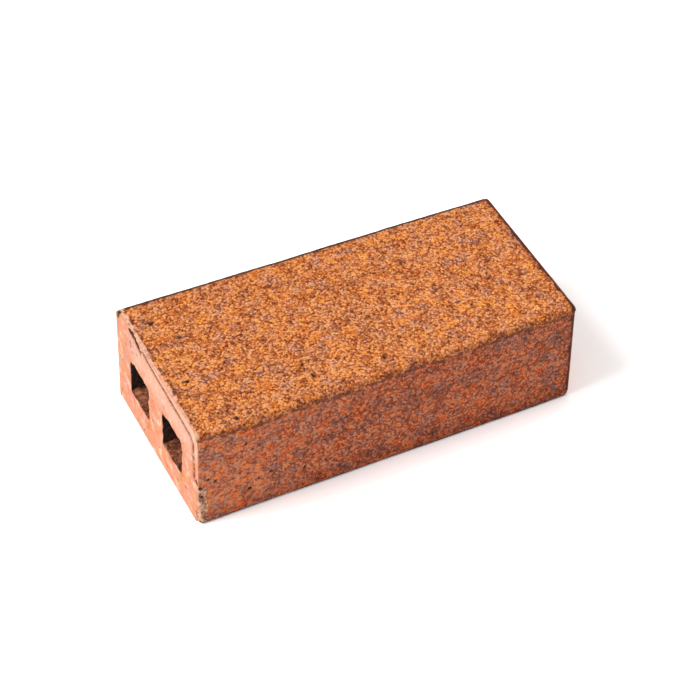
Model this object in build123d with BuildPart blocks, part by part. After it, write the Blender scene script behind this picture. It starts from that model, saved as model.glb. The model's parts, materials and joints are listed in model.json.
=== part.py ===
from build123d import *
import os

# A cored facing brick of fired clay, extruded along its length and cut off by a wire.
# Frame: +X runs along the brick, +Y from the front face to the back face and +Z up.
# The origin is the middle of the face that the brick lies on. All sizes are in millimetres.

# Brick format
brick_length = 210.0
brick_width = 100.0
brick_height = 60.0

# Long edges, rounded by the mouth of the die
top_arris_radius = 2.5
bed_arris_radius = 1.5

# Outline of the right end, rubbed round while the clay was wet
right_arris_radius = 1.2

# The two cores that run the whole length
core_width = 23.5
core_height = 22.5
core_corner_radius = 2.5
core_web = 17.0
core_bed_wall = 16.5
core_pair_shift = 1.5

# Lip that the cutting wire dragged off the top edge of the left end, down to nothing at the front
lip_back_width = 5.4
lip_back_drop = 2.0

# Spall at the foot of the arris between the left end and the front face
spall_height = 28.0
spall_front_width = 2.2
spall_end_width = 4.0

# Open seam on the left end, between the facing clay and the body, along the top and down the front
seam_width = 0.8
seam_depth = 2.0
seam_back_inset = 14.0
seam_back_drop = 3.0
seam_corner_drop = 6.0
seam_front_inset = 5.0
seam_bend_radius = 3.0
seam_foot_height = 27.0

# Places that the features share
left_x = -brick_length / 2
front_y = -brick_width / 2
back_y = brick_width / 2
core_middle_z = core_bed_wall + core_height / 2
core_spacing = core_web + core_width


def cutting_plane(first, second, third):
    """Plane through three points, which run clockwise as seen from the side that is cut away."""
    start = Vector(*first)
    along = Vector(*second) - start
    across = Vector(*third) - start
    return Plane(origin=start, x_dir=along, z_dir=across.cross(along))


with BuildPart() as brick:
    # Clay column, as wide and high as the die
    with BuildSketch(Plane.YZ) as column:
        with Locations((0, brick_height / 2)):
            Rectangle(brick_width, brick_height)
        corners = column.vertices().group_by(Axis.Y)
        fillet(corners[-1], top_arris_radius)
        fillet(corners[0], bed_arris_radius)
    extrude(amount=brick_length / 2, both=True)
    fillet(brick.edges().group_by(Axis.X)[-1], right_arris_radius)

    # Cores, side by side
    with BuildSketch(Plane.YZ):
        with Locations((core_pair_shift, core_middle_z)):
            with GridLocations(core_spacing, core_height, 2, 1):
                RectangleRounded(core_width, core_height, core_corner_radius)
    extrude(amount=brick_length / 2, both=True, mode=Mode.SUBTRACT)

    # Dragged lip, a skew cut from the front corner to its full width at the back
    lip = cutting_plane(
        (left_x, front_y, brick_height),
        (left_x, back_y, brick_height - lip_back_drop),
        (left_x + lip_back_width, back_y, brick_height),
    )
    split(bisect_by=lip, keep=Keep.BOTTOM)

    # Spall, a skew cut that widens towards the bed
    spall = cutting_plane(
        (left_x, front_y, spall_height),
        (left_x + spall_front_width, front_y, 0),
        (left_x, front_y + spall_end_width, 0),
    )
    split(bisect_by=spall, keep=Keep.BOTTOM)

    # Seam, a groove of even width traced along its route on the left end
    with BuildSketch(Plane.YZ.offset(left_x)):
        with BuildLine():
            seam_route = FilletPolyline(
                (back_y - seam_back_inset, brick_height - seam_back_drop),
                (front_y + seam_front_inset, brick_height - seam_corner_drop),
                (front_y + seam_front_inset, seam_foot_height),
                radius=seam_bend_radius,
            )
        trace(seam_route, line_width=seam_width)
    extrude(amount=seam_depth, mode=Mode.SUBTRACT)

brick.part.label = "brick"
os.makedirs("parts", exist_ok=True)
export_step(brick.part, "parts/brick.step")
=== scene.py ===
# %% [markdown]
# # One cored facing brick
# The object is a single brick of fired clay. Wet clay is pushed through a die, which rounds the long
# edges and leaves two cores open from end to end. A granular facing clay covers the top and curls a few
# millimetres down the sides, and a wire cuts the bricks apart, so both ends are smooth and pale. The
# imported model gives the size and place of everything, so it is loaded first.

# %% Load the frame
import json

import bmesh
import bpy
import numpy as np
from mathutils import Matrix, Vector, noise


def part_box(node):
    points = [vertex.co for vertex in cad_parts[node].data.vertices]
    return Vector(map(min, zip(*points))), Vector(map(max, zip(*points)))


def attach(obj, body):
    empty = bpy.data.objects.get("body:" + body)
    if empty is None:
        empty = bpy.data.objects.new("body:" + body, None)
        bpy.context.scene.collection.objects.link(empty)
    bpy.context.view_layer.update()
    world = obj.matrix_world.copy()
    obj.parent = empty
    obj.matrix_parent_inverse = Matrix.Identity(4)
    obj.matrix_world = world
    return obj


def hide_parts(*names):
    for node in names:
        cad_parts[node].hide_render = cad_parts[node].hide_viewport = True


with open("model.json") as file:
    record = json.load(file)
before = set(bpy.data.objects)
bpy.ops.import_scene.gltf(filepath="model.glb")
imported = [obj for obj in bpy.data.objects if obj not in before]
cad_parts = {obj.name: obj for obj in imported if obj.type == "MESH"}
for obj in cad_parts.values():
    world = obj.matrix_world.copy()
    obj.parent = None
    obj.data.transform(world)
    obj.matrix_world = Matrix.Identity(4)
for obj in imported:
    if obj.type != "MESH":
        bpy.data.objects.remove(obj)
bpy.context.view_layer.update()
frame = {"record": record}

brick_low, brick_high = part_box("brick")
MM = 0.001
SIZE = np.array((brick_high - brick_low) / MM)
LENGTH, WIDTH, HEIGHT = SIZE
LEFT, RIGHT, FRONT, BACK = -LENGTH / 2, LENGTH / 2, -WIDTH / 2, WIDTH / 2
print("brick of", SIZE.round(2), "mm")

# %% [markdown]
# ## Where the cores are
# The frame's record names a mount at the mouth of each core, so their middles are read from it. The
# opening itself is a rectangle with rounded corners, and only its size is repeated here.

# %% Read the cores
CORE_WIDTH, CORE_HEIGHT, CORE_CORNER = 23.5, 22.5, 2.5
mounts = {mount["name"]: Vector(mount["pos_m"]) / MM for mount in frame["record"]["mounts"]}
core_middles = [mounts["back_core"], mounts["front_core"]]
core_floor = core_middles[0].z - CORE_HEIGHT / 2
core_roof = core_middles[0].z + CORE_HEIGHT / 2
core_sides = sorted(middle.y + side * CORE_WIDTH / 2 for middle in core_middles for side in (-1, 1))
print("core sides at", np.round(core_sides, 2), "floor", core_floor, "roof", core_roof)

# %% [markdown]
# ## The blank
# A brick is an extrusion with two holes, so the mesh starts as a cube that is scaled to the brick. Score
# lines are cut round it in line with the sides of the cores with bisect_plane, which leaves one face at
# each core mouth. Those four faces are deleted, and bridge_loops joins the open rims through the clay.
# A boolean would do it too, but it leaves faces with many corners, which take relief badly.

# %% Cube, score lines and cores
SNAP = 0.12 * MM
CLOSE, MOSTLY = 0.01, 0.5
AXES = {"y": Vector((0, 1, 0)), "z": Vector((0, 0, 1))}


def score(bm, axis, place):
    """Cut a line round the whole blank, square to one axis, at a place in millimetres."""
    everything = bm.verts[:] + bm.edges[:] + bm.faces[:]
    direction = AXES[axis]
    bmesh.ops.bisect_plane(
        bm, geom=everything, dist=SNAP, plane_co=direction * place * MM, plane_no=direction
    )


def near_core(point, middle):
    """True where a point, in metres, lies within the section of one core."""
    return (
        abs(point.y / MM - middle.y) < CORE_WIDTH / 2 + CLOSE
        and abs(point.z / MM - middle.z) < CORE_HEIGHT / 2 + CLOSE
    )


def pierced_blank():
    bm = bmesh.new()
    bmesh.ops.create_cube(bm, size=1.0)
    bmesh.ops.scale(bm, vec=brick_high - brick_low, verts=bm.verts)
    bmesh.ops.translate(bm, vec=(brick_high + brick_low) / 2, verts=bm.verts)
    for place in core_sides:
        score(bm, "y", place)
    for place in (core_floor, core_roof):
        score(bm, "z", place)
    mouths = [
        face
        for face in bm.faces
        if abs(face.normal.x) > MOSTLY
        and any(near_core(face.calc_center_median(), middle) for middle in core_middles)
    ]
    bmesh.ops.delete(bm, geom=mouths, context="FACES")
    for middle in core_middles:
        rims = [
            edge
            for edge in bm.edges
            if edge.is_boundary and all(near_core(vert.co, middle) for vert in edge.verts)
        ]
        bmesh.ops.bridge_loops(bm, edges=rims)
    print("blank with", len(bm.faces), "faces,", len(mouths), "mouths opened")
    return bm


blank = pierced_blank()

# %% [markdown]
# ## Rounded edges
# The die gives the long edges a radius, larger on top than at the bed, and the cores have rounded
# corners. The right end was rubbed round while the clay was wet. The bevel operator makes each of them:
# its offset is the radius, and a profile of a half with several segments is a quarter circle.

# %% Bevel the long edges, the cores and the right end
TOP_RADIUS, BED_RADIUS, RIGHT_RADIUS = 2.5, 1.5, 1.2
ARC_STEPS, SMALL_ARC_STEPS = 4, 2
QUARTER_CIRCLE = 0.5


def runs_along(edge):
    return abs(edge.verts[0].co.x - edge.verts[1].co.x) > LENGTH / 2 * MM


def round_over(bm, edges, radius, steps):
    bmesh.ops.bevel(
        bm, geom=edges, offset=radius * MM, offset_type="OFFSET", segments=steps,
        profile=QUARTER_CIRCLE, affect="EDGES", material=-1, clamp_overlap=True,
    )


def is_at(length, places):
    """True where a length in metres is one of the places, in millimetres."""
    return any(abs(length / MM - place) < CLOSE for place in places)


def long_edges_at(bm, sides, heights):
    return [
        edge
        for edge in bm.edges
        if runs_along(edge)
        and is_at(edge.verts[0].co.y, sides)
        and is_at(edge.verts[0].co.z, heights)
    ]


def right_outline(bm):
    return [
        edge
        for edge in bm.edges
        if all(vert.co.x / MM > RIGHT - CLOSE for vert in edge.verts)
        and any(abs(face.normal.x) < MOSTLY for face in edge.link_faces)
        and not any(near_core(edge.verts[0].co, middle) for middle in core_middles)
    ]


for sides, heights, radius, steps in (
    ((FRONT, BACK), (HEIGHT,), TOP_RADIUS, ARC_STEPS),
    ((FRONT, BACK), (0,), BED_RADIUS, SMALL_ARC_STEPS),
    (core_sides, (core_floor, core_roof), CORE_CORNER, ARC_STEPS),
):
    round_over(blank, long_edges_at(blank, sides, heights), radius, steps)
round_over(blank, right_outline(blank), RIGHT_RADIUS, SMALL_ARC_STEPS)
print("rounded blank with", len(blank.faces), "faces")

# %% [markdown]
# ## Fine squares
# The grains of the facing clay are about a millimetre across, so the skin needs squares of that size
# before its points can move. Lines across the section are scored with bisect_plane, and the long edges
# are then divided with subdivide_edges, closely outside and more widely in the cores, where less shows.

# %% Divide the skin
PITCH, CORE_PITCH = 1.06, 2.6


def levels(marks, pitch):
    """Places between the marks, evenly spaced about a pitch apart. The marks themselves are left out."""
    places = []
    for low, high in zip(marks, marks[1:]):
        count = max(1, round((high - low) / pitch))
        places += [low + (high - low) * step / count for step in range(1, count)]
    return places


def divide(bm):
    y_marks = [FRONT + TOP_RADIUS, *core_sides, BACK - TOP_RADIUS]
    z_marks = [BED_RADIUS, core_floor, core_roof, HEIGHT - TOP_RADIUS]
    for place in levels(y_marks, PITCH) + [y_marks[0], y_marks[-1]]:
        score(bm, "y", place)
    for place in levels(z_marks, PITCH) + [z_marks[0], z_marks[-1]]:
        score(bm, "z", place)
    long_edges = [edge for edge in bm.edges if runs_along(edge)]
    in_cores = [any(near_core(edge.verts[0].co, middle) for middle in core_middles) for edge in long_edges]
    inner = [edge for edge, within in zip(long_edges, in_cores) if within]
    outer = [edge for edge, within in zip(long_edges, in_cores) if not within]
    bmesh.ops.subdivide_edges(bm, edges=inner, cuts=round(LENGTH / CORE_PITCH) - 1)
    bmesh.ops.subdivide_edges(bm, edges=outer, cuts=round(LENGTH / PITCH) - 1)
    print("divided skin:", len(bm.faces), "faces")


divide(blank)

# %% [markdown]
# ## Finer squares where something small happens
# The seam on the left end is narrow and crisp, so the squares along it are halved twice, and those at
# single holes and iron spots once. The places were read off, in millimetres. The seam is a row of points
# with a place across, a height and a half width. A height above the brick's own counts on over its edge.

# %% Places of the seam
SEAM_ROUTE = (
    (34.6, 60.2, 0.7), (32.5, 59.8, 1.4), (27, 59.1, 1.6), (25, 58.2, 1.9), (22.3, 57.5, 2.1),
    (19.4, 56.2, 1.9), (18.8, 56.8, 0.2), (16.6, 58.4, 0.3), (15.6, 58.3, 0.9), (12.2, 57.9, 1.1),
    (7.9, 57.2, 1), (-3, 56.5, 0.9), (-16.5, 55.5, 1.1), (-31.5, 54.8, 0.9), (-42.5, 54, 1),
    (-45, 51.4, 1.2), (-44.6, 43.4, 1.3), (-45.6, 36.8, 1.1), (-45.1, 28.3, 1.2),
)
TOUCHING = 0.05


def away_from_route(along, across, up):
    """Distance from points on or beside the left end to the seam, and the seam's half width there."""
    route = np.array(SEAM_ROUTE)
    round_the_edge = np.where(up > HEIGHT - TOUCHING, along - LEFT, 0)
    here = np.stack([across, up + round_the_edge], axis=-1)
    nearest, half_width = np.full(len(here), np.inf), np.zeros(len(here))
    for start, stop in zip(route, route[1:]):
        run = stop[:2] - start[:2]
        share = np.clip(((here - start[:2]) @ run) / (run @ run), 0, 1)
        gap = np.linalg.norm(here - start[:2] - share[:, None] * run, axis=1)
        closer = gap < nearest
        nearest[closer] = gap[closer]
        half_width[closer] = (start[2] + share * (stop[2] - start[2]))[closer]
    return nearest, half_width


print(len(SEAM_ROUTE), "points on the seam")

# %% [markdown]
# A mark is a place along, a place across or up, a radius, and how far it is a hole (1) or only a
# blue-grey iron stain (0). On the left end the first number is the place across.

# %% Places of the pits and iron spots
TOP_MARKS = (
    (-93.5, 32.5, 1.3, 1), (-84.5, 17.5, 1.6, 0.6), (-93.5, -13, 1.2, 1), (-61, 5.5, 1, 0.3),
    (-81, -22.5, 0.7, 1), (-82.5, -46, 1.6, 0.8), (-72, -8.5, 0.8, 0.8), (-38.5, -26.5, 1.1, 0.9),
    (-32, -23.5, 1.3, 0.2), (-45, -28.5, 1.1, 0.4), (-36.5, -36, 1.3, 1), (-3.5, -30.5, 0.9, 1),
    (0.5, -39.5, 1.3, 1), (-60, -23, 1.8, 0.1), (61.5, 10.5, 1.3, 0.1), (72, 10.5, 1.2, 0.1),
    (18.5, 20.5, 1.1, 0.4), (82.5, -19, 1, 0.3), (92, -33.5, 1.6, 0.1), (57.5, -24.5, 0.9, 0.7),
)
FRONT_MARKS = (
    (-103.8, 25, 1.3, 1), (-103, 19, 1.2, 0.8), (-99.5, 29.5, 1, 0.9), (-96, 27, 0.9, 0.9),
    (-77.5, 13.5, 1.4, 0.9), (-66, 20.5, 0.9, 1), (-47.5, 15, 1, 1), (-72.5, 18.5, 0.9, 0.7),
    (-78.5, 24.5, 1.1, 0.3), (-97, 42.5, 1, 0.1), (-79.5, 45, 0.8, 0.9), (-76, 40, 1, 0.5),
    (-63, 27.5, 1.6, 0.1), (-45.5, 30, 1.2, 0.4), (-36, 15, 0.9, 0.8), (-52.5, 44.5, 1.7, 0.1),
    (60.5, 49, 1.7, 0.1), (76, 48.5, 1.2, 0.2), (88, 33.5, 1.8, 0.1), (52.5, 26, 1.1, 0.4),
    (92, 42, 1.7, 0), (95.5, 9.5, 1.8, 0.1),
)
END_MARKS = (
    (32.3, 51.8, 1.4, 0.1), (31.7, 49.6, 1.3, 0.1), (29.6, 46.8, 1, 0.35), (47.5, 29.3, 1.2, 0.35),
    (-34.3, 12.2, 1.3, 0.1), (-25, 8.1, 1, 0.5), (-9.8, 44.1, 0.9, 0.5), (5.4, 21.2, 0.9, 0.6),
    (26.2, 2.5, 1, 0.8), (17.6, 2.9, 0.9, 0.8), (24.5, 49.4, 0.9, 0.4), (-47.4, 28, 1.8, 0.9),
    (44, 30, 0.8, 0.3), (-1.5, 9, 0.9, 0.4), (38.5, 45.5, 0.8, 0.3),
)


def mark_distance(along, other, marks):
    """Distance to the nearest mark as a share of its radius, and how far that mark is a hole."""
    shares = np.array([np.hypot(along - x, other - y) / radius for x, y, radius, _ in marks])
    holes = np.array([hole for *_, hole in marks])
    return shares.min(axis=0), holes[shares.argmin(axis=0)]


print(len(TOP_MARKS) + len(FRONT_MARKS) + len(END_MARKS), "marks")

# %% [markdown]
# Each round of subdivide_edges halves the squares whose middle lies near enough to the seam or to a mark.

# %% Halve the squares there
SEAM_ROUNDS, MARK_ROUNDS = 2, 1
ROUTE_REACH, MARK_REACH = 2.6, 1.3


def refine(bm):
    for step in range(SEAM_ROUNDS):
        faces = list(bm.faces)
        x, y, z = (np.array([face.calc_center_median() for face in faces]) / MM).T
        fine = (x < LEFT + ROUTE_REACH) & (away_from_route(x, y, z)[0] < ROUTE_REACH)
        if step < MARK_ROUNDS:
            fine |= (z > HEIGHT - TOUCHING) & (mark_distance(x, y, TOP_MARKS)[0] < MARK_REACH)
            fine |= (y < FRONT + TOUCHING) & (mark_distance(x, z, FRONT_MARKS)[0] < MARK_REACH)
            fine |= (x < LEFT + TOUCHING) & (mark_distance(y, z, END_MARKS)[0] < MARK_REACH)
        edges = dict.fromkeys(edge for face, wanted in zip(faces, fine) if wanted for edge in face.edges)
        bmesh.ops.subdivide_edges(bm, edges=list(edges), cuts=1, use_grid_fill=True)
    corners = sum(len(face.verts) - 2 for face in bm.faces)
    print("refined skin:", len(bm.faces), "faces,", corners, "triangles")


refine(blank)

# %% [markdown]
# ## Crisp where the wire cut
# Smooth shading blends the light over neighbouring faces, which suits rounded edges and looks blurred
# where the wire cut the clay square. Edges at a steep angle are marked sharp, so shading breaks there.

# %% Mark the cut edges sharp
SHARPEST_ROUND = np.radians(60)


def sharpen_cuts(bm):
    """Shade the wire-cut rims as crisp edges: the core mouths and the outline of the left end."""
    for edge in bm.edges:
        if len(edge.link_faces) == 2 and edge.calc_face_angle() > SHARPEST_ROUND:
            edge.smooth = False
    print("crisp edges:", sum(not edge.smooth for edge in bm.edges))


sharpen_cuts(blank)

# %% [markdown]
# ## From blank to points
# Relief is sculpted by moving all the points at once, as numpy arrays in millimetres. A point's place and
# the direction it faces on the smooth blank say which surface it is on.

# %% Measure every point
ON_WALL = 0.02


def three_each(source, name):
    """Vectors of a mesh as rows of three numbers."""
    values = np.zeros(len(source) * 3, np.float32)
    source.foreach_get(name, values)
    return values.reshape(-1, 3).astype(float)


def beyond_core(across, up):
    """How far places lie outside the section of the nearest core, negative within it."""
    return np.min([
        np.maximum(abs(across - middle.y) - CORE_WIDTH / 2, abs(up - middle.z) - CORE_HEIGHT / 2)
        for middle in core_middles
    ], axis=0)


blank.normal_update()
mesh = bpy.data.meshes.new("brick_body")
blank.to_mesh(mesh)
blank.free()
points = three_each(mesh.vertices, "co") / MM
facing = three_each(mesh.vertex_normals, "vector")
from_core = beyond_core(points[:, 1], points[:, 2])
in_core = from_core < ON_WALL
print(len(points), "points,", int(in_core.sum()), "on the walls of the cores")

# %% [markdown]
# The rings of points in the cores are wide apart. Near the mouths, where the colours change, they are
# drawn closer together, and deep inside they lie wider still.

# %% Crowd the rings towards the mouths
CROWDING = 8.0
END_FACING = 0.7


def crowd(to_mouth, half_length):
    return to_mouth ** 2 / (to_mouth + CROWDING) * (half_length + CROWDING) / half_length


crowded = LENGTH / 2 - crowd(LENGTH / 2 - abs(points[:, 0]), LENGTH / 2)
points[in_core, 0] = (np.sign(points[:, 0]) * crowded)[in_core]
smooth_points = points.copy()
x, y, z = smooth_points.T
to_left, to_right, to_back, below_top = x - LEFT, RIGHT - x, BACK - y, HEIGHT - z
to_end = np.minimum(to_left, to_right)
inside = in_core & (to_end > ON_WALL)
on_end = (abs(facing[:, 0]) > END_FACING) & ~inside
on_skin = ~on_end & ~inside
print(int(inside.sum()), "points in the cores,", int(on_end.sum()), "on the ends")

# %% [markdown]
# Two helpers do most of the shaping. Ramp fades from 0 to 1 between two values, and wander gives each
# point a smooth random number. The same seed gives the same numbers, so every run makes the same brick.

# %% Fades and random numbers
def ramp(values, low, high):
    """A smooth step from 0 to 1 as the values go from low to high."""
    share = np.clip((values - low) / (high - low), 0, 1)
    return share * share * (3 - 2 * share)


def wander(where, grain, seed):
    """Smooth random numbers about -1 to 1. The grain is in millimetres, for all axes or for each."""
    grain = np.broadcast_to(np.asarray(grain, float), 3)
    shift = np.array([17.3, 41.9, 73.1]) * seed
    return np.array([noise.noise(Vector(place)) for place in where / grain + shift])


print("halfway up a ramp:", float(ramp(0.5, 0, 1)))

# %% [markdown]
# ## A flat pattern of the skin
# The exported model carries its colours in one square picture, so the skin is laid out flat like the
# sides of a carton, with the ends beside them. The core walls are seldom seen and get half the scale. Each
# face goes to the side that it faces on the smooth blank.

# %% Lay the skin flat
SHEET, GUTTER, CORE_SCALE = 336.0, 2.0, 0.5
SIDE_COLUMN = LENGTH + 2 * GUTTER


def face_owners(mesh):
    """For every corner of every face, its point and its face."""
    corner_point = np.zeros(len(mesh.loops), np.int32)
    mesh.loops.foreach_get("vertex_index", corner_point)
    counts = np.zeros(len(mesh.polygons), np.int32)
    mesh.polygons.foreach_get("loop_total", counts)
    return corner_point, np.repeat(np.arange(len(counts)), counts), counts


def flat_pattern(mesh):
    """Write a map in which every side of the brick has its own place on one sheet."""
    corner_point, owner, counts = face_owners(mesh)
    direction = three_each(mesh.polygon_normals, "vector")
    centre = np.zeros_like(direction)
    np.add.at(centre, owner, smooth_points[corner_point])
    centre /= counts[:, None]
    strongest = abs(direction).argmax(axis=1)
    in_bore = (abs(direction[:, 0]) < MOSTLY) & (beyond_core(centre[:, 1], centre[:, 2]) < TOUCHING)
    along, across, up = smooth_points[corner_point].T
    flat = np.zeros((len(corner_point), 2))

    def lay(faces, axis, sign, right, above, corner, scale=1.0):
        picked = (faces & (strongest == axis) & (direction[:, axis] * sign > 0))[owner]
        flat[picked] = np.stack([right, above], axis=1)[picked] * scale + corner

    forward, backward = along - LEFT, RIGHT - along
    sides = (
        (2, 1, forward, across - FRONT, WIDTH),
        (2, -1, backward, BACK - across, WIDTH),
        (1, -1, forward, up, HEIGHT),
        (1, 1, backward, up, HEIGHT),
    )
    level = GUTTER
    for axis, sign, right, above, tall in sides:
        lay(~in_bore, axis, sign, right, above, (GUTTER, level))
        level += tall + GUTTER
    level = GUTTER
    for sign in (-1, 1):
        lay(~in_bore, 0, sign, across * sign + BACK, up, (SIDE_COLUMN, level))
        level += HEIGHT + GUTTER
    for middle in core_middles:
        in_this = in_bore & (abs(centre[:, 1] - middle.y) < CORE_WIDTH / 2 + TOUCHING)
        for axis, sign in ((1, 1), (1, -1), (2, 1), (2, -1)):
            above = up - core_floor if axis == 1 else across - middle.y + CORE_WIDTH / 2
            lay(in_this, axis, sign, forward, above, (SIDE_COLUMN, level), CORE_SCALE)
            level += CORE_WIDTH * CORE_SCALE + GUTTER
    pattern = mesh.uv_layers.new(name="OFBake")
    pattern.data.foreach_set("uv", (flat / SHEET).astype(np.float32).ravel())
    print("pattern reaches", (flat / SHEET).max(axis=0).round(3), "of the sheet, last level", round(level))


flat_pattern(mesh)

# %% [markdown]
# ## Where the facing clay ends
# The facing clay covers the whole top. It curls down over the front and back by two to five
# millimetres and stops at a torn edge. The edge's height wanders along the brick, once in long waves and
# once in short teeth, and the mask that it gives steers both the relief and the colours.

# %% Mask of the facing clay
CURL_DEPTH, CURL_WAVE, CURL_TEETH, CURL_LEAST = 4.2, 1.7, 1.3, 1.6
LOST_AT_CUT, LOST_OVER, TORN_BORDER, ACROSS_SHARE = 2.0, 14.0, 0.5, 0.02
along_only = smooth_points * (1, ACROSS_SHARE, 0)
edge_drop = CURL_DEPTH + CURL_WAVE * wander(along_only, 16.0, 1) + CURL_TEETH * wander(along_only, 3.1, 2)
edge_drop = np.maximum(edge_drop - LOST_AT_CUT * ramp(to_left, LOST_OVER, 0), CURL_LEAST)
faced = ramp(edge_drop - below_top, -TORN_BORDER, TORN_BORDER) * on_skin
print("facing clay reaches", edge_drop.min().round(1), "to", edge_drop.max().round(1), "mm down")

# %% [markdown]
# ## Grain
# Three sizes of random relief lie over each other: the sag of a surface that shrank in the kiln, lumps
# of a few millimetres and the grains themselves. The facing clay is coarse, the sides are smoother, the
# wire-cut ends smoothest, and the cores are torn along their length. The facing clay also stands a little
# proud of the sides, most where it has curled well over the edge.

# %% Relief of each surface
SAG_DEPTH, DRAG_DEPTH, CURL_STAND, STANDS_FROM, STANDS_FULLY = 0.22, 0.5, 0.38, 0.2, 2.0
sag = wander(smooth_points, 34.0, 3)
lumps = wander(smooth_points, 5.5, 4)
grain = wander(smooth_points, 1.9, 5)
core_drag = wander(smooth_points, (11.0, 2.2, 2.2), 6)
side_skin = (1 - faced) * on_skin
height = SAG_DEPTH * sag * ~inside + DRAG_DEPTH * core_drag * inside
height += faced * ramp(below_top, STANDS_FROM, STANDS_FULLY) * CURL_STAND
for surface, lump_depth, grain_depth in (
    (faced, 0.12, 0.14), (side_skin, 0.08, 0.04), (on_end, 0.05, 0.02), (inside, 0.3, 0.2)
):
    height += surface * (lump_depth * lumps + grain_depth * grain)
print("relief from", height.min().round(2), "to", height.max().round(2), "mm")

# %% [markdown]
# ## Pits and iron spots
# Where a grain fell out there is a round pit, painted dark inside as its shade. Iron spots are hardly sunk
# and softer.

# %% Cut the pits
PIT_DEPTH, STAIN_DEPTH = 0.8, 0.15
PIT_FLOOR, STAIN_FLOOR, SPOT_RIM, ONLY_STAIN = 0.5, 0.25, 1.15, 0.25
on_top = (z > HEIGHT - TOUCHING) & ~on_end
on_front = (y < FRONT + TOUCHING) & ~on_end
on_left = on_end & (x < 0)
mark, hole = np.zeros(len(points)), np.zeros(len(points))
for here, first, second, marks in (
    (on_top, x, y, TOP_MARKS), (on_front, x, z, FRONT_MARKS), (on_left, y, z, END_MARKS)
):
    gap, depth = mark_distance(first, second, marks)
    spot = here * (1 - ramp(gap, np.where(depth < ONLY_STAIN, STAIN_FLOOR, PIT_FLOOR), SPOT_RIM))
    mark = np.maximum(mark, spot)
    hole = np.maximum(hole, spot * depth)
height -= PIT_DEPTH * hole + STAIN_DEPTH * (mark - hole)
print("deepest pit", height.min().round(2), "mm")

# %% [markdown]
# ## The seam
# The seam is a crack between the facing clay and the body, wide at the back, and a row of holes down the
# front. Here it only becomes a mask, because it is pressed in after the lip is cut.

# %% Where the seam is open
DOTTED_FROM, ALWAYS_OPEN = 52.5, 0.8
SEAM_SWING, SEAM_FLOOR, SEAM_RIM, SEAM_OVER_EDGE = 0.3, 0.55, 1.2, 2.5
seam_gap, half_width = away_from_route(x, y, z)
half_width = half_width * (1 + SEAM_SWING * wander(smooth_points, 1.8, 20))
dots = ramp(wander(smooth_points * (0, 1, 1), 2.1, 7), -0.3, 0.15)
open_share = np.where(z > DOTTED_FROM, ALWAYS_OPEN + (1 - ALWAYS_OPEN) * dots, dots)
beside_end = (to_left < TOUCHING) | on_top & (to_left < SEAM_OVER_EDGE)
seam = (1 - ramp(seam_gap, half_width * SEAM_FLOOR, half_width * SEAM_RIM)) * open_share * beside_end
print("seam covers", int((seam > 0.5).sum()), "points")

# %% [markdown]
# ## Torn mouths
# The wire tears the rims of the cores, so these wander in and out by about a millimetre. Each point near
# a rim moves away from the middle of its core or towards it, and the move fades inwards and on the end.

# %% Tear the mouths of the cores
TEAR, TEAR_INWARDS, TEAR_AROUND, TEAR_BIAS, FINE_TEAR = 1.4, 4.5, 2.6, 0.1, 0.35
SHORTEST_ARM = 0.1
near_mouth = (1 - ramp(to_end, 0.0, TEAR_INWARDS)) * (1 - ramp(from_core, 0.0, TEAR_AROUND))
core_middle_y = np.where(y > core_middles[0].y - CORE_WIDTH, core_middles[0].y, core_middles[1].y)
outwards = np.stack([0 * y, y - core_middle_y, z - core_middles[0].z], axis=1)
outwards /= np.maximum(np.linalg.norm(outwards, axis=1), SHORTEST_ARM)[:, None]
ragged_rim = wander(smooth_points, 5.2, 8) + FINE_TEAR * wander(smooth_points, 2.4, 9) + TEAR_BIAS
tear = TEAR * near_mouth * ragged_rim
points += facing * height[:, None] + outwards * tear[:, None]
print("rims move up to", round(float(abs(tear).max()), 2), "mm")

# %% [markdown]
# ## Knocked-off edges
# A brick loses its corners in handling, and the wire drags a lip off the top edge of the left end. Each
# of these is a flat, slightly rough cut through three points. Points outside it are pressed down onto it
# along its normal, which folds nothing over.

# %% Press points down onto cuts
LIP_WIDTH, LIP_DROP = 5.4, 2.0
SPALL_HEIGHT, SPALL_ALONG, SPALL_ACROSS = 28.0, 2.2, 4.0
FOOT_HEIGHT, FOOT_ALONG, FOOT_ACROSS = 5.0, 2.8, 2.2
FAR_HEIGHT, FAR_SIDE = 14.0, 3.2
CUT_MARGIN, FINER_BY, FINER_SHARE = 1.5, 2.7, 0.5


def knock_off(first, second, third, rough, grain, seed):
    """Cut off what lies outside three points, clockwise from outside. Returns how much each point moved."""
    first, second, third = (np.array(corner, float) for corner in (first, second, third))
    normal = np.cross(third - first, second - first)
    normal /= np.linalg.norm(normal)
    unevenness = wander(smooth_points, grain, seed)
    unevenness += FINER_SHARE * wander(smooth_points, grain / FINER_BY, seed + 1)
    proud = (points - first) @ normal + rough * unevenness
    proud = np.maximum(proud, 0) * ((smooth_points - first) @ normal > -CUT_MARGIN)
    points[:] -= normal * proud[:, None]
    return proud


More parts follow.
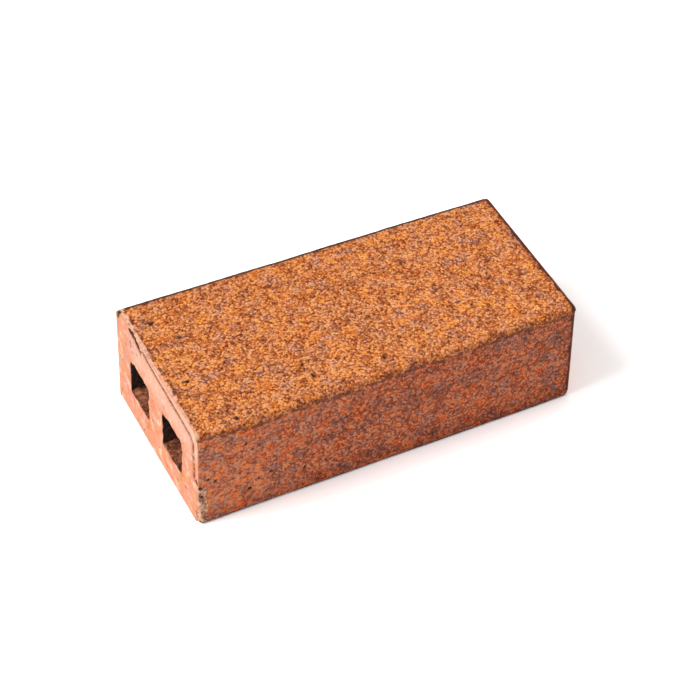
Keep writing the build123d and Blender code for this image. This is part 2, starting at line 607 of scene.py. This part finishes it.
lip = knock_off(
    (LEFT, FRONT, HEIGHT), (LEFT, BACK, HEIGHT - LIP_DROP), (LEFT + LIP_WIDTH, BACK, HEIGHT),
    rough=0.2, grain=6.0, seed=10,
)
spall = knock_off(
    (LEFT, FRONT, SPALL_HEIGHT), (LEFT + SPALL_ALONG, FRONT, 0), (LEFT, FRONT + SPALL_ACROSS, 0),
    rough=0.9, grain=3.6, seed=12,
)
foot = knock_off(
    (RIGHT, FRONT + FOOT_ACROSS, 0), (RIGHT - FOOT_ALONG, FRONT, 0), (RIGHT, FRONT, FOOT_HEIGHT),
    rough=0.3, grain=3.0, seed=16,
)
far = knock_off(
    (RIGHT - FAR_SIDE, BACK, HEIGHT), (RIGHT, BACK, HEIGHT - FAR_HEIGHT), (RIGHT, BACK - FAR_SIDE, HEIGHT),
    rough=0.2, grain=3.0, seed=14,
)
print("the four cuts take up to", [cut.max().round(2) for cut in (lip, spall, foot, far)])

# %% [markdown]
# Now the seam is pressed in. Close under the lip it stays shallow, so that the thin clay above it doesn't
# fold, and further down it has its full depth.

# %% Press the seam in
SEAM_DEPTH, SHALLOW_SEAM, SHALLOW_DOWN_TO, DEEP_BELOW = 1.3, 0.4, 1.0, 2.5
deepening = ramp(below_top - to_left * on_top, SHALLOW_DOWN_TO, DEEP_BELOW)
seam_depth = SHALLOW_SEAM + (SEAM_DEPTH - SHALLOW_SEAM) * deepening
points -= facing * (seam * seam_depth)[:, None]
print("seam is up to", round(float((seam * seam_depth).max()), 2), "mm deep")

# %% [markdown]
# ## Warped in the kiln
# Bricks leave the kiln a little out of true. In the photograph the top of the right end is a few
# millimetres narrower than the left. Each corner of the box gets a small shift, and
# every point takes its share of the eight shifts by how near it is to each corner. The bed stays flat.

# %% Shift the corners
CORNER_SHIFTS = {
    "left front bed": (0, -0.4, 0), "left front top": (1.4, 0.2, 0.3),
    "left back bed": (0, 0.4, 0), "left back top": (0.8, -0.6, -0.3),
    "right front bed": (-2, -0.4, 0), "right front top": (-2, 2, 0.3),
    "right back bed": (0, -0.2, 0), "right back top": (0.5, -2, -1.2),
}
share_x, share_y, share_z = np.clip((smooth_points - (LEFT, FRONT, 0)) / SIZE, 0, 1).T
for corner, shift in CORNER_SHIFTS.items():
    weight = share_x if "right" in corner else 1 - share_x
    weight = weight * (share_y if "back" in corner else 1 - share_y)
    weight = weight * (share_z if "top" in corner else 1 - share_z)
    points += weight[:, None] * np.array(shift)
points[:, 2] = np.maximum(points[:, 2], 0)
print("points from", points.min(axis=0).round(2), "to", points.max(axis=0).round(2), "mm")

# %% [markdown]
# ## Where bare clay and a painted shadow meet the facing
# The next cells work out masks from 0 to 1, which tell the material what each point is. The cream strip is
# bare clay that the wire dragged along the left cut, wider towards the back. Dark brown patches follow its
# border, and a dark brown painted shadow follows the hem, which is the torn edge of the facing clay at the
# front.

# %% Strip, border and painted shadow under the hem
STRIP_FRONT, STRIP_BACK, STRIP_SWING, STRIP_WIDENS = 1.4, 3.2, 0.9, 1.5
STRIP_FADE, STRIP_DOWN, STRIP_FULL_DOWN = 0.35, 12.0, 3.0
HEM_SHADOW_BELOW, HEM_SHADOW_UP, HEM_SHADOW_DOWN = 0.2, 2.8, 1.5
BORDER_AT, BORDER_REACH, BORDER_STRENGTH = 0.9, 1.3, 0.9


def band(distance, reach):
    """1 where a distance is 0, fading softly over a reach."""
    return np.exp(-((distance / reach) ** 2))


strip_width = STRIP_FRONT + (STRIP_BACK - STRIP_FRONT) * share_y ** STRIP_WIDENS
strip_width += STRIP_SWING * wander(smooth_points, 2.2, 22)
strip = ramp(strip_width - to_left, -STRIP_FADE, STRIP_FADE) * on_skin * (below_top < STRIP_DOWN)
strip *= np.where(on_front, ramp(below_top, STRIP_DOWN, STRIP_FULL_DOWN), 1)
# Painted shadow: a dark brown band round the torn edge of the facing clay, where it stands proud of the
# side.
under_hem = below_top - edge_drop - HEM_SHADOW_BELOW
hem_shadow_and_border = band(under_hem, np.where(under_hem < 0, HEM_SHADOW_UP, HEM_SHADOW_DOWN)) * (y < 0) * on_skin
near_top = below_top < STRIP_FULL_DOWN
border = BORDER_STRENGTH * band(to_left - strip_width - BORDER_AT, BORDER_REACH) * near_top * on_skin
hem_shadow_and_border = np.maximum(hem_shadow_and_border, border) * (0.6 + 0.75 * wander(smooth_points, 2.8, 24))
print("strip is", strip_width.min().round(1), "to", strip_width.max().round(1), "mm wide")

# %% [markdown]
# ## Scorch, painted shade and darker clay
# The edge at the back is scorched nearly black. Round the right end and along the bed, the rounded edges
# get a nearly black painted shade where they turn away from the light, and a paler painted shade darkens
# the last millimetres at the right. The foot of the front and the curl are darker. Each pair of numbers
# says at what distance a fade begins and where it is complete.

# %% Scorched back edge, painted shade and darker clay
BACK_FADE, BACK_FADE_DOWN, BACK_FADE_LEFT, BACK_SWING = (3.0, 2.2), (3.4, 1.2), (2.5, 5.0), 1.6
RIGHT_FADE, RIGHT_SWING = (2.8, 1.6), 0.8
BED_FADE, BED_FADE_UNDER, BED_SWING, BED_STRENGTH = (2.2, 0.8), (4.0, 2.0), 0.6, 0.8
FOOT_FADE, RIGHT_SHADE_FADE, CURL_DARK_FADE = (13.0, 2.5), (7.0, 1.5), (0.1, 1.2)
dark_edge_wave = wander(smooth_points, 6.0, 30) + 0.6 * wander(smooth_points, 2.3, 31)
back_edge = ramp(to_back, *BACK_FADE) * ramp(below_top - BACK_SWING * dark_edge_wave, *BACK_FADE_DOWN)
back_edge *= ramp(to_left, *BACK_FADE_LEFT)
# Painted shade: the rounded right end and the bed edge turn away from the light and are darkened nearly
# black.
right_edge_shade = ramp(to_right - RIGHT_SWING * dark_edge_wave, *RIGHT_FADE)
bed_edge_shade = BED_STRENGTH * ramp(z - BED_SWING * dark_edge_wave, *BED_FADE)
bed_edge_shade *= ramp(WIDTH / 2 - abs(y), *BED_FADE_UNDER)
scorch_and_shade = np.maximum.reduce([back_edge, right_edge_shade, bed_edge_shade]) * on_skin
# Darker towards the foot of the front and on the curl. Along the right end a painted shade fades in over
# the last millimetres.
darker_foot = ramp(z, *FOOT_FADE) * on_front * (0.7 + 0.3 * share_x)
right_shade = 0.8 * ramp(to_right, *RIGHT_SHADE_FADE) * on_skin
darker_curl = 0.6 * faced * ramp(below_top, *CURL_DARK_FADE) * (y < 0)
print("scorched points:", int((scorch_and_shade > 0.5).sum()))

# %% [markdown]
# ## Breaks, painted shade in the cores and paler clay
# A chip is missing at the back corner of the lip, and its hollow is painted nearly black as shade. The clay
# beside the spall is broken too. Shade is painted into the cores: on the walls from close behind the mouth,
# and on the floors, which the light reaches further, only further in. The left end is palest above the
# cores.

# %% Chip, damage, painted shade in the cores and pale clay
CHIP_AT, CHIP_WIDE, CHIP_TALL, CHIP_DEEP, CHIP_FADE = (47.8, 58.2), 1.7, 2.4, 1.6, (1.15, 0.85)
DAMAGE_WIDTH, DAMAGE_SWING, DAMAGE_ROUND, DAMAGE_FADE_UP = 5.0, 2.0, 0.2, (28.0, 22.0)
FLOOR_SHADE_FADE, WALL_SHADE_FADE, LEAST_WALL_SHADE = (3.0, 18.0), (2.0, 10.0), 0.8
PALE_UP, PALE_BACK = (37.0, 47.0), (38.0, 28.0)
# The hollow of the chip is painted nearly black: painted shade.
chip = np.hypot((y - CHIP_AT[0]) / CHIP_WIDE, (z - CHIP_AT[1]) / CHIP_TALL)
chip = ramp(chip + 0.3 * wander(smooth_points, 1.5, 26), *CHIP_FADE) * (to_left < CHIP_DEEP)
damage_width = DAMAGE_WIDTH + DAMAGE_SWING * wander(smooth_points, 4.0, 27)
damage = ramp(damage_width - to_left, -0.5, 0.8) * (y < FRONT + DAMAGE_ROUND) * ~on_end
damage *= ramp(z, *DAMAGE_FADE_UP)
# Painted shade in the cores: the walls darken from close behind the mouth, and the floors, where the light
# falls further in, only deeper.
floor_like = ramp(facing[:, 2], 0.35, 0.8) + 0.5 * wander(smooth_points, 3.0, 29)
wall_shade = LEAST_WALL_SHADE + (1 - LEAST_WALL_SHADE) * ramp(to_end, *WALL_SHADE_FADE)
core_shade = np.where(floor_like > 0.5, ramp(to_end, *FLOOR_SHADE_FADE), wall_shade)
pale = on_left * ramp(z, *PALE_UP) * ramp(y, *PALE_BACK) * (0.7 + 0.5 * wander(smooth_points, 9.0, 28))
print("chip covers", int((chip > 0.5).sum()), "points, damage", int((damage > 0.5).sum()))

# %% [markdown]
# ## All the masks
# Each mask has a name, under which the shader nodes read it. The open part of the seam is the crack,
# painted nearly black as the shade inside it. The row of holes is rusty, and so is a halo round both.

# %% Gather the masks
HALO_REACH, HALO_STRENGTH, STAIN_STRENGTH = 1.1, 0.45, 1.2
SEAM_COLOUR = (0.15, 0.5)
halo = HALO_STRENGTH * (1 - ramp(seam_gap, half_width, half_width + HALO_REACH)) * on_left
seam_colour = ramp(seam, *SEAM_COLOUR)
masks = {
    "faced": faced * (1 - strip),
    "strip": strip,
    "hem_shadow_and_border": hem_shadow_and_border,
    "cut_end": on_end * 1.0,
    "pale": pale,
    "core": inside * 1.0,
    "core_shade": inside * core_shade,
    "broken": np.maximum(ramp(spall, 0.05, 0.4), damage),
    "bruised": ramp(foot, 0.1, 0.6),
    "scorch_and_shade": scorch_and_shade,
    "shade_and_darkening": np.maximum.reduce([darker_foot, right_shade, darker_curl]),
    "stain": np.minimum(STAIN_STRENGTH * (mark - hole), 1),
    "rust": np.maximum(halo, seam_colour * (z < DOTTED_FROM)),
    # The open crack is painted nearly black: painted shade.
    "crack_shade": seam_colour * (z > DOTTED_FROM),
    # Painted shade: the pits and the hollow of the chip are painted nearly black.
    "hollow_shade": np.maximum(ramp(hole, 0.15, 0.7), chip),
}
for name, mask in masks.items():
    print(name, "covers", round(float((mask > 0.5).mean()) * 100, 1), "% of the points")

# %% [markdown]
# ## Object and attributes
# The mesh gets its points back in metres, and the masks with them. The object itself stays at the
# origin, because the place of a piece belongs in its mesh.

# %% Make the object
def hand_back(mesh, places):
    mesh.vertices.foreach_set("co", (places * MM).astype(np.float32).ravel())
    mesh.shade_smooth()
    mesh.update()


def store_masks(mesh, masks):
    for name, values in masks.items():
        attribute = mesh.attributes.new(name, "FLOAT", "POINT")
        attribute.data.foreach_set("value", np.clip(values, 0, 1).astype(np.float32))


hand_back(mesh, points)
store_masks(mesh, masks)
brick_body = bpy.data.objects.new("brick_body", mesh)
bpy.context.scene.collection.objects.link(brick_body)
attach(brick_body, "root")
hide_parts("brick")
print("brick_body has", len(mesh.polygons), "faces")

# %% [markdown]
# ## Helpers for materials
# A material is a tree of shader nodes. These helpers add a node and fill or link its inputs by name, turn a
# screen colour into the linear numbers that a shader wants, and mix two colours.

# %% Node helpers
def paint(red, green, blue):
    """A screen colour, 0 to 255, as a linear colour."""
    shares = [level / 255 for level in (red, green, blue)]
    linear = [share / 12.92 if share <= 0.04045 else ((share + 0.055) / 1.055) ** 2.4 for share in shares]
    return (*linear, 1.0)


class Clay:
    """One material's node tree, and short names for the nodes that this brick needs."""

    def __init__(self, name):
        self.material = bpy.data.materials.new(name)
        self.material.use_nodes = True
        self.tree = self.material.node_tree
        self.shader = self.tree.nodes["Principled BSDF"]
        self.place = self.add("TexCoord").outputs["Object"]

    def add(self, kind, inputs=None, **settings):
        node = self.tree.nodes.new("ShaderNode" + kind)
        for name, value in settings.items():
            setattr(node, name, value)
        for name, value in (inputs or {}).items():
            self.fill(node.inputs[name], value)
        return node

    def fill(self, socket, value):
        if isinstance(value, bpy.types.NodeSocket):
            self.tree.links.new(value, socket)
        else:
            socket.default_value = value

    def calc(self, operation, *values):
        node = self.add("Math", operation=operation)
        for socket, value in zip(node.inputs, values):
            self.fill(socket, value)
        return node.outputs[0]

    def total(self, *parts):
        """The sum of (weight, value) pairs."""
        result = 0.0
        for weight, value in parts:
            result = self.calc("MULTIPLY_ADD", value, weight, result)
        return result

    def step(self, value, low, high, bottom=0.0, top=1.0):
        """A smooth step of a value between two levels."""
        inputs = {"Value": value, "From Min": low, "From Max": high, "To Min": bottom, "To Max": top}
        return self.add("MapRange", inputs, interpolation_type="SMOOTHSTEP").outputs["Result"]

    def blend(self, share, first, second, how="MIX"):
        node = self.add("Mix", data_type="RGBA", blend_type=how)
        self.fill(node.inputs[0], share)
        self.fill(node.inputs[6], first)
        self.fill(node.inputs[7], second)
        return node.outputs[2]

    def mask(self, name):
        return self.add("Attribute", attribute_name=name).outputs["Fac"]

    def cloud(self, grain, detail=2.0, rough=0.5, shift=0.0, stretch=(1, 1, 1)):
        """Smooth noise, 0 to 1, whose blobs are about a grain wide, in millimetres."""
        placing = {"Vector": self.place, "Location": (shift, shift, shift), "Scale": stretch}
        inputs = {"Vector": self.add("Mapping", placing).outputs[0], "Scale": 1 / (grain * MM)}
        return self.add("TexNoise", inputs | {"Detail": detail, "Roughness": rough}).outputs["Fac"]

    def cells(self, grain, shift=0.0):
        """Grains of a size in millimetres: distance to each one's middle, and a random number for each."""
        moved = self.add("Mapping", {"Vector": self.place, "Location": (shift, shift, shift)})
        node = self.add("TexVoronoi", {"Vector": moved.outputs[0], "Scale": 1 / (grain * MM)})
        chance = self.add("SeparateColor", {"Color": node.outputs["Color"]}).outputs[0]
        return node.outputs["Distance"], chance

    def palette(self, value, *stops):
        """A colour ramp of (position, red, green, blue) stops."""
        node = self.add("ValToRGB", {"Fac": value})
        band = node.color_ramp
        while len(band.elements) < len(stops):
            band.elements.new(1.0)
        for element, (position, *colour) in zip(band.elements, stops):
            element.position = position
            element.color = paint(*colour)
        return node.outputs["Color"]


print("middle grey is", round(paint(188, 188, 188)[0], 2), "in linear light")

# %% [markdown]
# ## Parts that the finishes share
# Both skins are packed grains: a random number per grain, with a painted highlight in each grain's middle
# and painted shade in the gaps between them. Tints multiply a colour in patches, towards one hue where a
# noise is high and another where it is low. Specks are the few cells of a Voronoi texture whose random
# number is high.

# %% Grains, tints and specks
MIDDLE_VALUE, SPECK_CORE = 0.043, 0.55
PATCH_FROM, PATCH_WARM, PATCH_COOL = 0.5, 0.68, 0.32


def grains(clay, size, shift):
    """A value about 0.5 and a height for packed grains of a size in millimetres. The value is paler in each
    grain's middle and darker in the gaps: painted light and shade.
    """
    distance, chance = clay.cells(size, shift)
    soft = clay.cloud(size * 0.9, detail=3.0, rough=0.6, shift=shift + 0.4)
    mood = clay.cloud(8.0, detail=2.0, shift=shift + 0.8)
    # Paler in each grain's middle and darker at its edge: painted light and shade on the grains.
    value = clay.total((0.42, chance), (-0.36, distance), (0.5, soft), (0.34, mood))
    height = clay.total((1.3, soft), (-0.9, distance))
    return clay.calc("ADD", value, MIDDLE_VALUE), height


def tint(clay, colour, grain, shift, warm, cool, strength):
    """Patches of two hues, multiplied into a colour."""
    patches = clay.cloud(grain, detail=2.5, rough=0.6, shift=shift)
    colour = clay.blend(clay.step(patches, PATCH_FROM, PATCH_WARM, 0, strength), colour, warm, "MULTIPLY")
    return clay.blend(clay.step(patches, PATCH_FROM, PATCH_COOL, 0, strength), colour, cool, "MULTIPLY")


def specks(clay, colour, over, strength, size, share, reach, shift):
    """Paint sparse round specks: cells whose random number is high. Returns the colour and their mask."""
    distance, chance = clay.cells(size, shift)
    chosen = clay.calc("GREATER_THAN", chance, 1 - share)
    mask = clay.calc("MULTIPLY", chosen, clay.step(distance, reach, reach * SPECK_CORE))
    return clay.blend(clay.calc("MULTIPLY", mask, strength), colour, paint(*over)), mask


# %% [markdown]
# ## The facing clay
# The top looks like coarse sugar in orange, gold and rust, with painted shade in the gaps between the
# grains. Some grains are blue-grey iron, and others have fallen out and left a hole, painted dark as the
# shade in it.

# %% Granular facing finish
def granular_facing(clay):
    value, height = grains(clay, 1.1, 0.1)
    colour = clay.palette(
        value, (0.20, 98, 34, 6), (0.36, 172, 86, 34), (0.50, 217, 125, 64), (0.63, 244, 155, 88),
        (0.80, 255, 188, 126),
    )
    colour = tint(clay, colour, 2.0, 1.1, (1.02, 1.0, 0.62, 1), (0.93, 0.88, 1.4, 1), 0.8)
    colour = tint(clay, colour, 5.5, 2.3, (1.03, 0.98, 0.68, 1), (0.84, 0.94, 1.35, 1), 1.0)
    colour = tint(clay, colour, 9.0, 2.9, (1.06, 0.98, 0.62, 1), (0.84, 0.94, 1.4, 1), 1.0)
    colour, _ = specks(clay, colour, (92, 86, 96), 0.8, size=3.4, share=0.08, reach=0.3, shift=0.7)
    # Dark holes: painted shade in small hollows, which the bump also sinks.
    colour, holes = specks(clay, colour, (66, 26, 14), 0.85, size=2.4, share=0.09, reach=0.27, shift=1.9)
    return colour, clay.calc("SUBTRACT", height, holes)


# %% [markdown]
# ## The skin of the sides
# The front is the body clay, smeared by the die and burnt redder. Orange and purple-grey lie in patches of
# a few millimetres with a fine grain over them, and blue-grey spots where iron came to the surface. It is
# a little paler towards the left.

# %% Die-smeared side finish
PALER_FROM, PALER_AT, PALER_BY = -10, -95, 0.13


def side_skin_finish(clay):
    value, height = grains(clay, 1.2, 3.1)
    lengthwise = clay.add("SeparateXYZ", {"Vector": clay.place}).outputs["X"]
    paler_left = clay.step(lengthwise, PALER_FROM * MM, PALER_AT * MM, 0.0, PALER_BY)
    colour = clay.palette(
        clay.calc("ADD", value, paler_left), (0.16, 88, 36, 24), (0.36, 144, 73, 46),
        (0.50, 184, 99, 65), (0.64, 212, 125, 84), (0.84, 232, 152, 108),
    )
    colour = tint(clay, colour, 2.6, 4.7, (1.2, 0.8, 0.36, 1), (0.7, 0.86, 1.3, 1), 1.0)
    colour = tint(clay, colour, 7.0, 6.1, (1.18, 0.88, 0.55, 1), (0.72, 0.84, 1.2, 1), 1.0)
    colour, _ = specks(clay, colour, (104, 90, 100), 0.7, size=4.4, share=0.16, reach=0.28, shift=5.2)
    # Dark holes: painted shade in small hollows, which the bump also sinks.
    colour, holes = specks(clay, colour, (60, 28, 24), 0.8, size=3.0, share=0.09, reach=0.2, shift=8.8)
    return colour, clay.total((0.35, height), (-0.6, holes))


# %% [markdown]
# ## Cut ends, cores, strip and spall
# The wire leaves a pale salmon face with peach and pink clouds, a few brown dots and grey stains. The cores
# were never smeared, so they are dark and crumbly, and further in a painted shade makes them nearly black.
# The strip along the cut is drier and creamy, and the spall shows grey-beige broken clay whose hollows get
# painted shade and whose high points get a painted highlight.

# %% Other finishes
END_RELIEF, CORE_RELIEF, BROKEN_RELIEF = 0.5, 2.4, 2.2


def cut_end_finish(clay):
    soft = clay.cloud(7.0, detail=4.0, rough=0.6, shift=7.3)
    colour = clay.palette(
        soft, (0.30, 206, 116, 78), (0.42, 234, 154, 106), (0.52, 228, 154, 130), (0.60, 240, 180, 148),
        (0.70, 252, 212, 182),
    )
    fine = clay.cloud(1.3, detail=3.0, rough=0.6, shift=9.1)
    drag = clay.cloud(3.2, detail=2.0, shift=8.2, stretch=(1, 1, 0.2))
    colour = clay.blend(clay.step(drag, 0.5, 0.66), colour, (1.0, 0.92, 1.04, 1), "MULTIPLY")
    colour = clay.blend(clay.step(drag, 0.5, 0.34), colour, (1.0, 1.04, 0.82, 1), "MULTIPLY")
    colour = clay.blend(clay.calc("MULTIPLY", clay.mask("pale"), 0.6), colour, paint(250, 206, 184))
    colour = clay.blend(clay.step(fine, 0.48, 0.3, 0, 0.7), colour, paint(208, 126, 92))
    colour, _ = specks(clay, colour, (150, 84, 66), 0.6, size=3.2, share=0.1, reach=0.24, shift=10.4)
    colour, _ = specks(clay, colour, (150, 130, 128), 0.4, size=8.0, share=0.16, reach=0.26, shift=11.7)
    return colour, clay.calc("MULTIPLY", fine, END_RELIEF)


def core_finish(clay):
    soft = clay.cloud(3.0, detail=5.0, rough=0.7, shift=12.9)
    colour = clay.palette(
        soft, (0.34, 46, 18, 8), (0.43, 116, 58, 30), (0.52, 156, 88, 64), (0.64, 216, 144, 98)
    )
    # This nearly black palette is painted shade, blended in by the core shade mask.
    shaded_core = clay.palette(soft, (0.40, 5, 3, 3), (0.5, 22, 9, 5), (0.64, 92, 42, 18))
    colour = clay.blend(clay.step(clay.mask("core_shade"), 0.0, 0.8), colour, shaded_core)
    return colour, clay.calc("MULTIPLY", soft, CORE_RELIEF)


def strip_finish(clay):
    soft = clay.cloud(2.0, detail=3.0, rough=0.6, shift=13.5)
    colour = clay.palette(
        soft, (0.34, 192, 122, 92), (0.43, 218, 162, 136), (0.55, 236, 182, 150), (0.66, 240, 174, 122)
    )
    return colour, soft


def broken_finish(clay):
    soft = clay.cloud(2.4, detail=5.0, rough=0.7, shift=14.2)
    # The palette follows the relief: its dark stop is painted shade in the hollows, and its palest stop is
    # a painted highlight on the high points.
    colour = clay.palette(
        soft, (0.34, 70, 36, 26), (0.41, 150, 92, 72), (0.50, 206, 146, 114), (0.58, 236, 184, 150),
        (0.68, 250, 226, 208),
    )
    return colour, clay.calc("MULTIPLY", soft, BROKEN_RELIEF)


# %% [markdown]
# ## One fired clay
# The finishes meet on one mesh, so one material holds them all and the point masks say where each shows.
# A little noise is added to a mask before it is cut sharp, which makes the border as ragged as
# the grains. All the heights are mixed the same way and go through one Bump node.

# %% Put the material together
BUMP_HEIGHT = 0.42 * MM
ROUGH_LOW, ROUGH_HIGH, MATTE = 0.72, 0.95, 0.35
TORN_BY, TORN_LOW, TORN_HIGH = 0.9, 0.82, 1.06
DARKENING_TINT, DARKENING_STRENGTH = (0.66, 0.52, 0.46, 1), 0.85


def ragged(clay, name, edge):
    """A point mask with a torn border."""
    return clay.step(clay.total((1.0, clay.mask(name)), (TORN_BY, edge)), TORN_LOW, TORN_HIGH)


def fired_clay():
    clay = Clay("fired clay")
    edge = clay.cloud(1.4, detail=3.0, rough=0.6, shift=20.0)
    colour, height = side_skin_finish(clay)
    layers = [
        (ragged(clay, "faced", edge), granular_facing(clay)),
        (ragged(clay, "strip", edge), strip_finish(clay)),
        (clay.mask("cut_end"), cut_end_finish(clay)),
        (clay.step(clay.mask("core"), 0.0, 0.4), core_finish(clay)),
        (ragged(clay, "broken", edge), broken_finish(clay)),
    ]
    for share, (over, relief) in layers:
        colour = clay.blend(share, colour, over)
        height = clay.add("Mix", {"Factor": share, "A": height, "B": relief}, data_type="FLOAT").outputs[0]
    # Painted shade at the right end, and darker clay at the foot of the front and on the curl.
    darkening = clay.calc("MULTIPLY", clay.mask("shade_and_darkening"), DARKENING_STRENGTH)
    colour = clay.blend(darkening, colour, DARKENING_TINT, "MULTIPLY")
    overlays = (
        # Painted shadow under the hem, together with the border patches.
        (0.75, ragged(clay, "hem_shadow_and_border", edge), paint(92, 42, 24)),
        # Scorch at the back edge, painted shade round the right end and along the bed.
        (0.9, ragged(clay, "scorch_and_shade", edge), paint(48, 20, 14)),
        (0.7, clay.mask("bruised"), paint(206, 138, 118)),
        (0.8, clay.mask("stain"), paint(86, 90, 102)),
        (0.85, clay.mask("rust"), paint(150, 78, 42)),
        # Painted shade inside the open crack.
        (0.97, clay.mask("crack_shade"), paint(44, 14, 5)),
        # Painted shade in the pits and the chip.
        (0.95, clay.mask("hollow_shade"), paint(26, 9, 4)),
    )
    for strength, share, over in overlays:
        colour = clay.blend(clay.calc("MULTIPLY", share, strength), colour, over)
    bump = clay.add("Bump", {"Height": height, "Distance": BUMP_HEIGHT, "Strength": 1.0})
    rough = clay.step(clay.cloud(1.7, detail=3.0, shift=21.0), 0.3, 0.7, ROUGH_LOW, ROUGH_HIGH)
    clay.fill(clay.shader.inputs["Base Color"], colour)
    clay.fill(clay.shader.inputs["Roughness"], rough)
    clay.fill(clay.shader.inputs["Normal"], bump.outputs["Normal"])
    clay.fill(clay.shader.inputs["Specular IOR Level"], MATTE)
    print("fired clay has", len(clay.tree.nodes), "nodes")
    return clay.material


mesh.materials.append(fired_clay())

# %% [markdown]
# ## Floor, light and camera
# The photograph is a cut-out on white. A pale floor catches a soft shadow, and only for the camera
# it and the world are lifted to white, so that the brick isn't lit by anything brighter.

# %% Floor and world
FLOOR_REACH = 8.0
FLOOR_PAPER, FLOOR_SEEN = 0.8, 1.5
SKY_LIGHT = 0.62


def white_to_camera(tree, seen, lighting):
    """A colour that is one value for the camera and for reflections, and another as a source of light."""
    path = tree.nodes.new("ShaderNodeLightPath")
    share = path.outputs["Is Camera Ray"]
    for ray in ("Is Glossy Ray", "Is Transmission Ray"):
        total = tree.nodes.new("ShaderNodeMath")
        total.operation, total.use_clamp = "ADD", True
        tree.links.new(share, total.inputs[0])
        tree.links.new(path.outputs[ray], total.inputs[1])
        share = total.outputs[0]
    mix = tree.nodes.new("ShaderNodeMix")
    mix.data_type = "RGBA"
    tree.links.new(share, mix.inputs[0])
    mix.inputs[6].default_value = (lighting, lighting, lighting, 1)
    mix.inputs[7].default_value = (seen, seen, seen, 1)
    return mix.outputs[2]


def floor():
    bm = bmesh.new()
    bmesh.ops.create_grid(bm, x_segments=1, y_segments=1, size=FLOOR_REACH)
    floor_mesh = bpy.data.meshes.new("floor")
    bm.to_mesh(floor_mesh)
    bm.free()
    made = bpy.data.objects.new("floor", floor_mesh)
    bpy.context.scene.collection.objects.link(made)
    material = bpy.data.materials.new("white paper")
    material.use_nodes = True
    tree = material.node_tree
    shader = tree.nodes["Principled BSDF"]
    tree.links.new(white_to_camera(tree, FLOOR_SEEN, FLOOR_PAPER), shader.inputs["Base Color"])
    shader.inputs["Roughness"].default_value = 1.0
    shader.inputs["Specular IOR Level"].default_value = 0.0
    floor_mesh.materials.append(material)


def sky():
    world = bpy.data.worlds.new("studio")
    world.use_nodes = True
    tree = world.node_tree
    background = tree.nodes["Background"]
    tree.links.new(white_to_camera(tree, 1.0, SKY_LIGHT), background.inputs["Color"])
    bpy.context.scene.world = world


floor()
sky()
print("floor and world made")

# %% [markdown]
# ## The key light
# The left end is the brightest side of the brick and the front the darkest, so the key light stands at
# the left and above, a little behind. It is broad, which keeps the shadow on the floor soft.

# %% Lamp
KEY_FROM, KEY_STRENGTH, KEY_SOFTNESS = (-0.62, 0.12, 0.64), 2.0, 30


def lamp(name, towards, strength, softness):
    """A distant lamp that shines from a direction, with a soft edge given as an angle in degrees."""
    light = bpy.data.lights.new(name, "SUN")
    light.energy = strength
    light.angle = np.radians(softness)
    made = bpy.data.objects.new(name, light)
    made.rotation_euler = Vector(towards).to_track_quat("Z", "Y").to_euler()
    bpy.context.scene.collection.objects.link(made)


lamp("key light", KEY_FROM, KEY_STRENGTH, KEY_SOFTNESS)
print("key light shines from", KEY_FROM)

# %% [markdown]
# ## The camera
# The camera stands where the corners of the warped brick fall on the corners in the
# photograph: to the front left, looking down. It is placed by two angles, a roll, a
# distance and a small slide, all found by fitting the outline, and it has a long lens.

# %% Place the camera
AZIMUTH, ELEVATION, ROLL = np.radians((-27.524, 43.883, 1.442))
DISTANCE, SLIDE_RIGHT, SLIDE_UP = 1100.498, 1.778, 22.486
FOCUS_PIXELS, PICTURE_PIXELS, SENSOR = 2133.095, 700.0, 36.0
SEES_UP_TO = 100


def camera_axes():
    flat = np.cos(ELEVATION)
    back = Vector((np.sin(AZIMUTH) * flat, -np.cos(AZIMUTH) * flat, np.sin(ELEVATION)))
    right = Vector((np.cos(AZIMUTH), np.sin(AZIMUTH), 0))
    up = back.cross(right)
    rolled_right = right * np.cos(ROLL) + up * np.sin(ROLL)
    rolled_up = up * np.cos(ROLL) - right * np.sin(ROLL)
    return rolled_right, rolled_up, back


def place_camera():
    right, up, back = camera_axes()
    place = (right * SLIDE_RIGHT + up * SLIDE_UP + back * DISTANCE) * MM
    data = bpy.data.cameras.new("camera")
    data.sensor_width = SENSOR
    data.lens = FOCUS_PIXELS * SENSOR / PICTURE_PIXELS
    data.clip_end = SEES_UP_TO
    camera = bpy.data.objects.new("camera", data)
    camera.matrix_world = Matrix.Translation(place) @ Matrix((right, up, back)).transposed().to_4x4()
    bpy.context.scene.collection.objects.link(camera)
    bpy.context.scene.camera = camera
    print("camera at", [round(value / MM) for value in place], "mm, lens", round(data.lens, 1), "mm")


place_camera()
bpy.context.scene.view_settings.view_transform = "Standard"
